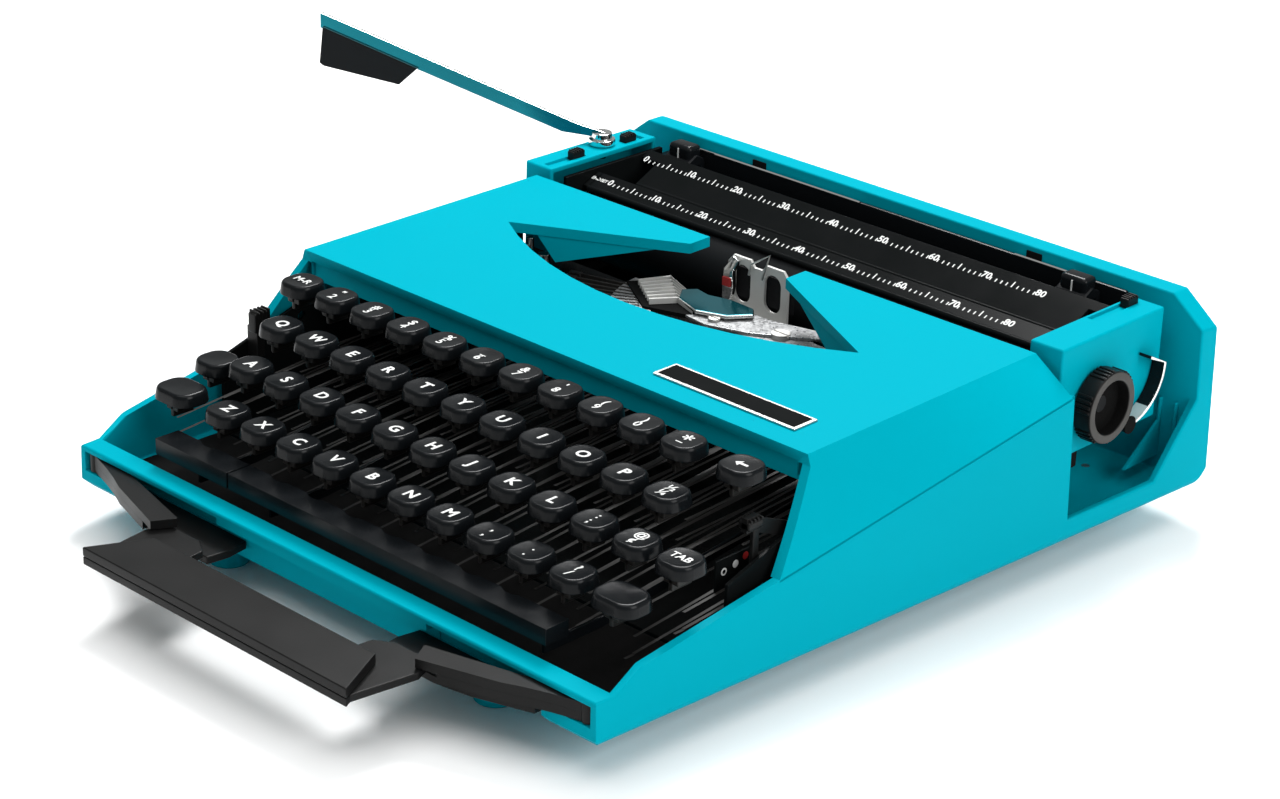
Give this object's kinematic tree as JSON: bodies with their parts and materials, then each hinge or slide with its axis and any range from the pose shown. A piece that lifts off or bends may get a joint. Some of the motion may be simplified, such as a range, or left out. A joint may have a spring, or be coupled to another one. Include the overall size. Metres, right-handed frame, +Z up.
{
  "type": "portable typewriter",
  "caption": "Low portable manual typewriter in a flared plastic shell with dished round-square keys, sliding carriage, return lever and pull-out front handle.",
  "frame": {"origin": "on the table plane under the middle of the shell: X in its plane of symmetry, Y halfway between its front and rear faces", "axes": "+X to the typist's right, +Y from the typist to the rear wall, +Z up"},
  "size_m": [0.3876, 0.349, 0.1238],
  "materials": {
    "shell_plastic": "moulded, lightly textured satin gloss",
    "key_plastic": "polished black",
    "black_plastic": "satin black",
    "black_enamel": "semi-gloss black enamel",
    "bright_steel": "plated steel",
    "zinc_plate": "spangled zinc plate",
    "spool_steel": "tin plate",
    "chrome": "bright chrome",
    "platen_rubber": "hard satin rubber"
  },
  "bodies": {
    "shell": {"lower_shell": "shell_plastic", "top_cover": "shell_plastic", "feet": "shell_plastic", "screws": "bright_steel", "chassis_frame": "black_enamel", "key_fulcrum_rod": "bright_steel", "type_segment": "zinc_plate", "typebars": "bright_steel", "carriage_rail": "bright_steel"},
    "key_q": {"key_q": "key_plastic"},
    "key_w": {"key_w": "key_plastic"},
    "key_e": {"key_e": "key_plastic"},
    "key_r": {"key_r": "key_plastic"},
    "key_t": {"key_t": "key_plastic"},
    "key_y": {"key_y": "key_plastic"},
    "key_u": {"key_u": "key_plastic"},
    "key_i": {"key_i": "key_plastic"},
    "key_o": {"key_o": "key_plastic"},
    "key_p": {"key_p": "key_plastic"},
    "key_a": {"key_a": "key_plastic"},
    "key_s": {"key_s": "key_plastic"},
    "key_d": {"key_d": "key_plastic"},
    "key_f": {"key_f": "key_plastic"},
    "key_g": {"key_g": "key_plastic"},
    "key_h": {"key_h": "key_plastic"},
    "key_j": {"key_j": "key_plastic"},
    "key_k": {"key_k": "key_plastic"},
    "key_l": {"key_l": "key_plastic"},
    "key_z": {"key_z": "key_plastic"},
    "key_x": {"key_x": "key_plastic"},
    "key_c": {"key_c": "key_plastic"},
    "key_v": {"key_v": "key_plastic"},
    "key_b": {"key_b": "key_plastic"},
    "key_n": {"key_n": "key_plastic"},
    "key_m": {"key_m": "key_plastic"},
    "margin_release_key": {"margin_release_key": "key_plastic"},
    "backspace_key": {"backspace_key": "key_plastic"},
    "shift_lock_key": {"shift_lock_key": "key_plastic"},
    "tab_key": {"tab_key": "key_plastic"},
    "shift_keys": {"shift_keys": "key_plastic"},
    "number_and_sign_keys": {"number_and_sign_keys": "key_plastic"},
    "space_bar": {"space_bar": "key_plastic"},
    "power_space_bar": {"power_space_bar": "key_plastic"},
    "ribbon_vibrator": {"ribbon_vibrator": "zinc_plate"},
    "ribbon_spool_left": {"ribbon_spool_left": "spool_steel"},
    "ribbon_spool_right": {"ribbon_spool_right": "spool_steel"},
    "ribbon_selector": {"ribbon_selector": "black_plastic"},
    "carriage": {"carriage_frame": "black_enamel", "end_covers": "shell_plastic", "paper_table": "black_enamel"},
    "platen": {"platen": "platen_rubber", "platen_knobs": "black_plastic"},
    "return_lever": {"return_lever": "chrome"},
    "paper_bail": {"paper_bail": "black_enamel"},
    "margin_stop_left": {"margin_stop_left": "black_plastic"},
    "margin_stop_right": {"margin_stop_right": "black_plastic"},
    "paper_release_lever": {"paper_release_lever": "chrome"},
    "handle_grip": {"handle_grip": "black_plastic"},
    "handle_link_left": {"handle_link_left": "black_plastic"},
    "handle_link_right": {"handle_link_right": "black_plastic"}
  },
  "joints": [
    {"name": "carriage_travel", "type": "slide", "parent": "shell", "child": "carriage", "axis": [1, 0, 0], "range_m": [-0.09, 0.09]},
    {"name": "return_lever_swing", "type": "hinge", "parent": "carriage", "child": "return_lever", "pos_m": [-0.127, 0.1105, 0.0835], "axis": [0, 0, 1], "range_deg": [0, 28], "stiffness_Nm_per_rad": 0.4, "springref_deg": -5.73},
    {"name": "platen_turn", "type": "hinge", "parent": "carriage", "child": "platen", "pos_m": [0, 0.095, 0.058], "axis": [1, 0, 0], "continuous": true},
    {"name": "paper_bail_lift", "type": "hinge", "parent": "carriage", "child": "paper_bail", "pos_m": [0, 0.1165, 0.063], "axis": [-1, 0, 0], "range_deg": [0, 55], "stiffness_Nm_per_rad": 0.02, "springref_deg": -17.19},
    {"name": "margin_stop_left_slide", "type": "slide", "parent": "carriage", "child": "margin_stop_left", "axis": [1, 0, 0], "range_m": [0, 0.06]},
    {"name": "margin_stop_right_slide", "type": "slide", "parent": "carriage", "child": "margin_stop_right", "axis": [1, 0, 0], "range_m": [-0.06, 0]},
    {"name": "paper_release_tilt", "type": "hinge", "parent": "carriage", "child": "paper_release_lever", "pos_m": [0.1335, 0.1105, 0.046], "axis": [1, 0, 0], "range_deg": [0, 20]},
    {"name": "handle_slide", "type": "slide", "parent": "shell", "child": "handle_grip", "axis": [0, 1, 0], "range_m": [0, 0.015]},
    {"name": "handle_link_left_swing", "type": "hinge", "parent": "shell", "child": "handle_link_left", "pos_m": [-0.124, -0.1483, 0.027], "axis": [0, 0, 1], "range_deg": [0, 13.8]},
    {"name": "handle_link_right_swing", "type": "hinge", "parent": "shell", "child": "handle_link_right", "pos_m": [0.124, -0.1483, 0.027], "axis": [0, 0, 1], "range_deg": [-13.8, 0]},
    {"name": "ribbon_vibrator_lift", "type": "slide", "parent": "shell", "child": "ribbon_vibrator", "axis": [0, 0, 1], "range_m": [0, 0.006], "stiffness_N_per_m": 40, "springref_m": -0.006},
    {"name": "ribbon_spool_left_turn", "type": "hinge", "parent": "shell", "child": "ribbon_spool_left", "pos_m": [-0.095, 0.0125, 0.053], "axis": [0, 0, 1], "continuous": true},
    {"name": "ribbon_spool_right_turn", "type": "hinge", "parent": "shell", "child": "ribbon_spool_right", "pos_m": [0.095, 0.0125, 0.053], "axis": [0, 0, 1], "continuous": true},
    {"name": "ribbon_selector_tilt", "type": "hinge", "parent": "shell", "child": "ribbon_selector", "pos_m": [0.1226, -0.0515, 0.053], "axis": [1, 0, 0], "range_deg": [-7, 7]},
    {"name": "space_bar_press", "type": "hinge", "parent": "shell", "child": "space_bar", "pos_m": [0, 0.0335, 0.047], "axis": [1, 0, 0], "range_deg": [0, 2.28], "stiffness_Nm_per_rad": 1.2, "springref_deg": -8.59},
    {"name": "power_space_bar_press", "type": "hinge", "parent": "shell", "child": "power_space_bar", "pos_m": [0, 0.0335, 0.047], "axis": [1, 0, 0], "range_deg": [0, 2.28], "stiffness_Nm_per_rad": 1.2, "springref_deg": -8.59},
    {"name": "shift_keys_press", "type": "hinge", "parent": "shell", "child": "shift_keys", "pos_m": [0, 0.0335, 0.047], "axis": [1, 0, 0], "range_deg": [0, 3.29], "stiffness_Nm_per_rad": 1.2, "springref_deg": -8.59},
    {"name": "shift_lock_key_press", "type": "hinge", "parent": "shell", "child": "shift_lock_key", "pos_m": [0, 0.0335, 0.047], "axis": [1, 0, 0], "range_deg": [0, 3.71], "stiffness_Nm_per_rad": 0.3, "springref_deg": -8.59},
    {"name": "number_and_sign_keys_press", "type": "hinge", "parent": "shell", "child": "number_and_sign_keys", "pos_m": [0, 0.0335, 0.047], "axis": [1, 0, 0], "range_deg": [0, 3.29], "stiffness_Nm_per_rad": 1.2, "springref_deg": -8.59},
    {"name": "margin_release_key_press", "type": "hinge", "parent": "shell", "child": "margin_release_key", "pos_m": [0, 0.0335, 0.047], "axis": [1, 0, 0], "range_deg": [0, 5.07], "stiffness_Nm_per_rad": 0.3, "springref_deg": -8.59},
    {"name": "backspace_key_press", "type": "hinge", "parent": "shell", "child": "backspace_key", "pos_m": [0, 0.0335, 0.047], "axis": [1, 0, 0], "range_deg": [0, 5.07], "stiffness_Nm_per_rad": 0.3, "springref_deg": -8.59},
    {"name": "tab_key_press", "type": "hinge", "parent": "shell", "child": "tab_key", "pos_m": [0, 0.0335, 0.047], "axis": [1, 0, 0], "range_deg": [0, 3.71], "stiffness_Nm_per_rad": 0.3, "springref_deg": -8.59},
    {"name": "key_q_press", "type": "hinge", "parent": "shell", "child": "key_q", "pos_m": [0, 0.0335, 0.047], "axis": [1, 0, 0], "range_deg": [0, 4.28], "stiffness_Nm_per_rad": 0.3, "springref_deg": -8.59},
    {"name": "key_w_press", "type": "hinge", "parent": "shell", "child": "key_w", "pos_m": [0, 0.0335, 0.047], "axis": [1, 0, 0], "range_deg": [0, 4.28], "stiffness_Nm_per_rad": 0.3, "springref_deg": -8.59},
    {"name": "key_e_press", "type": "hinge", "parent": "shell", "child": "key_e", "pos_m": [0, 0.0335, 0.047], "axis": [1, 0, 0], "range_deg": [0, 4.28], "stiffness_Nm_per_rad": 0.3, "springref_deg": -8.59},
    {"name": "key_r_press", "type": "hinge", "parent": "shell", "child": "key_r", "pos_m": [0, 0.0335, 0.047], "axis": [1, 0, 0], "range_deg": [0, 4.28], "stiffness_Nm_per_rad": 0.3, "springref_deg": -8.59},
    {"name": "key_t_press", "type": "hinge", "parent": "shell", "child": "key_t", "pos_m": [0, 0.0335, 0.047], "axis": [1, 0, 0], "range_deg": [0, 4.28], "stiffness_Nm_per_rad": 0.3, "springref_deg": -8.59},
    {"name": "key_y_press", "type": "hinge", "parent": "shell", "child": "key_y", "pos_m": [0, 0.0335, 0.047], "axis": [1, 0, 0], "range_deg": [0, 4.28], "stiffness_Nm_per_rad": 0.3, "springref_deg": -8.59},
    {"name": "key_u_press", "type": "hinge", "parent": "shell", "child": "key_u", "pos_m": [0, 0.0335, 0.047], "axis": [1, 0, 0], "range_deg": [0, 4.28], "stiffness_Nm_per_rad": 0.3, "springref_deg": -8.59},
    {"name": "key_i_press", "type": "hinge", "parent": "shell", "child": "key_i", "pos_m": [0, 0.0335, 0.047], "axis": [1, 0, 0], "range_deg": [0, 4.28], "stiffness_Nm_per_rad": 0.3, "springref_deg": -8.59},
    {"name": "key_o_press", "type": "hinge", "parent": "shell", "child": "key_o", "pos_m": [0, 0.0335, 0.047], "axis": [1, 0, 0], "range_deg": [0, 4.28], "stiffness_Nm_per_rad": 0.3, "springref_deg": -8.59},
    {"name": "key_p_press", "type": "hinge", "parent": "shell", "child": "key_p", "pos_m": [0, 0.0335, 0.047], "axis": [1, 0, 0], "range_deg": [0, 4.28], "stiffness_Nm_per_rad": 0.3, "springref_deg": -8.59},
    {"name": "key_a_press", "type": "hinge", "parent": "shell", "child": "key_a", "pos_m": [0, 0.0335, 0.047], "axis": [1, 0, 0], "range_deg": [0, 3.71], "stiffness_Nm_per_rad": 0.3, "springref_deg": -8.59},
    {"name": "key_s_press", "type": "hinge", "parent": "shell", "child": "key_s", "pos_m": [0, 0.0335, 0.047], "axis": [1, 0, 0], "range_deg": [0, 3.71], "stiffness_Nm_per_rad": 0.3, "springref_deg": -8.59},
    {"name": "key_d_press", "type": "hinge", "parent": "shell", "child": "key_d", "pos_m": [0, 0.0335, 0.047], "axis": [1, 0, 0], "range_deg": [0, 3.71], "stiffness_Nm_per_rad": 0.3, "springref_deg": -8.59},
    {"name": "key_f_press", "type": "hinge", "parent": "shell", "child": "key_f", "pos_m": [0, 0.0335, 0.047], "axis": [1, 0, 0], "range_deg": [0, 3.71], "stiffness_Nm_per_rad": 0.3, "springref_deg": -8.59},
    {"name": "key_g_press", "type": "hinge", "parent": "shell", "child": "key_g", "pos_m": [0, 0.0335, 0.047], "axis": [1, 0, 0], "range_deg": [0, 3.71], "stiffness_Nm_per_rad": 0.3, "springref_deg": -8.59},
    {"name": "key_h_press", "type": "hinge", "parent": "shell", "child": "key_h", "pos_m": [0, 0.0335, 0.047], "axis": [1, 0, 0], "range_deg": [0, 3.71], "stiffness_Nm_per_rad": 0.3, "springref_deg": -8.59},
    {"name": "key_j_press", "type": "hinge", "parent": "shell", "child": "key_j", "pos_m": [0, 0.0335, 0.047], "axis": [1, 0, 0], "range_deg": [0, 3.71], "stiffness_Nm_per_rad": 0.3, "springref_deg": -8.59},
    {"name": "key_k_press", "type": "hinge", "parent": "shell", "child": "key_k", "pos_m": [0, 0.0335, 0.047], "axis": [1, 0, 0], "range_deg": [0, 3.71], "stiffness_Nm_per_rad": 0.3, "springref_deg": -8.59},
    {"name": "key_l_press", "type": "hinge", "parent": "shell", "child": "key_l", "pos_m": [0, 0.0335, 0.047], "axis": [1, 0, 0], "range_deg": [0, 3.71], "stiffness_Nm_per_rad": 0.3, "springref_deg": -8.59},
    {"name": "key_z_press", "type": "hinge", "parent": "shell", "child": "key_z", "pos_m": [0, 0.0335, 0.047], "axis": [1, 0, 0], "range_deg": [0, 3.29], "stiffness_Nm_per_rad": 0.3, "springref_deg": -8.59},
    {"name": "key_x_press", "type": "hinge", "parent": "shell", "child": "key_x", "pos_m": [0, 0.0335, 0.047], "axis": [1, 0, 0], "range_deg": [0, 3.29], "stiffness_Nm_per_rad": 0.3, "springref_deg": -8.59},
    {"name": "key_c_press", "type": "hinge", "parent": "shell", "child": "key_c", "pos_m": [0, 0.0335, 0.047], "axis": [1, 0, 0], "range_deg": [0, 3.29], "stiffness_Nm_per_rad": 0.3, "springref_deg": -8.59},
    {"name": "key_v_press", "type": "hinge", "parent": "shell", "child": "key_v", "pos_m": [0, 0.0335, 0.047], "axis": [1, 0, 0], "range_deg": [0, 3.29], "stiffness_Nm_per_rad": 0.3, "springref_deg": -8.59},
    {"name": "key_b_press", "type": "hinge", "parent": "shell", "child": "key_b", "pos_m": [0, 0.0335, 0.047], "axis": [1, 0, 0], "range_deg": [0, 3.29], "stiffness_Nm_per_rad": 0.3, "springref_deg": -8.59},
    {"name": "key_n_press", "type": "hinge", "parent": "shell", "child": "key_n", "pos_m": [0, 0.0335, 0.047], "axis": [1, 0, 0], "range_deg": [0, 3.29], "stiffness_Nm_per_rad": 0.3, "springref_deg": -8.59},
    {"name": "key_m_press", "type": "hinge", "parent": "shell", "child": "key_m", "pos_m": [0, 0.0335, 0.047], "axis": [1, 0, 0], "range_deg": [0, 3.29], "stiffness_Nm_per_rad": 0.3, "springref_deg": -8.59}
  ],
  "couplings": [
    {"joint": "handle_link_left_swing", "follows": "handle_slide", "rad_per_m": 15.83},
    {"joint": "handle_link_right_swing", "follows": "handle_slide", "rad_per_m": -15.83},
    {"joint": "ribbon_spool_right_turn", "follows": "ribbon_spool_left_turn", "ratio": 1}
  ]
}
